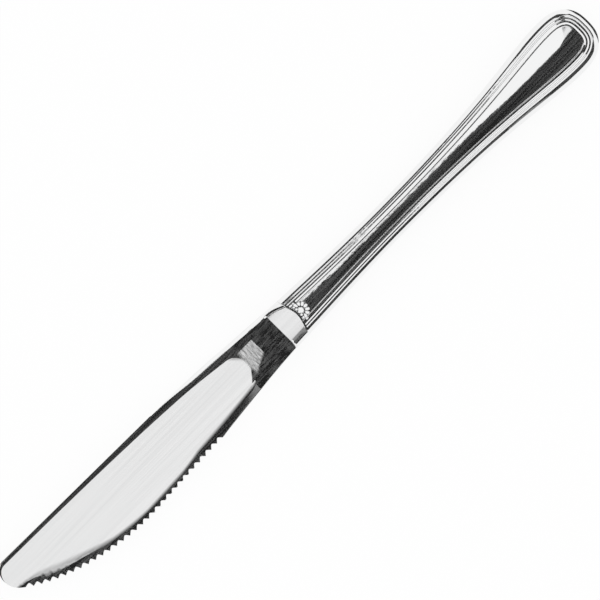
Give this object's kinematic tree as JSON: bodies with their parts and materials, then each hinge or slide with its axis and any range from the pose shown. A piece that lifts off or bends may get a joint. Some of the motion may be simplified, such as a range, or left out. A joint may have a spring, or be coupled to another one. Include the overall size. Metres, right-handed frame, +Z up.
{
  "type": "dessert knife",
  "caption": "Dessert knife with a round-nosed blade with a finely serrated edge, a forged bolster and a hollow handle with a reeded border, dished panels and a small palmette.",
  "frame": {"origin": "centre of the knife's bounding box at the level of the surface it lies on", "axes": "+X along the knife from blade to handle end, +Y towards the spine, +Z up, square to the blade's middle plane"},
  "size_m": [0.206, 0.019, 0.007],
  "materials": {
    "blade_steel": "stainless steel, ground faces finely brushed along the blade, neck and bolster polished",
    "handle_steel": "mirror-polished stainless steel",
    "braze_metal": "dull silver-brass brazing metal",
    "cement": "matt grey cement"
  },
  "bodies": {
    "root": {"blade": "blade_steel", "front_handle_shell": "handle_steel", "back_handle_shell": "handle_steel", "handle_seam_braze": "braze_metal", "handle_cement": "cement"}
  },
  "joints": []
}
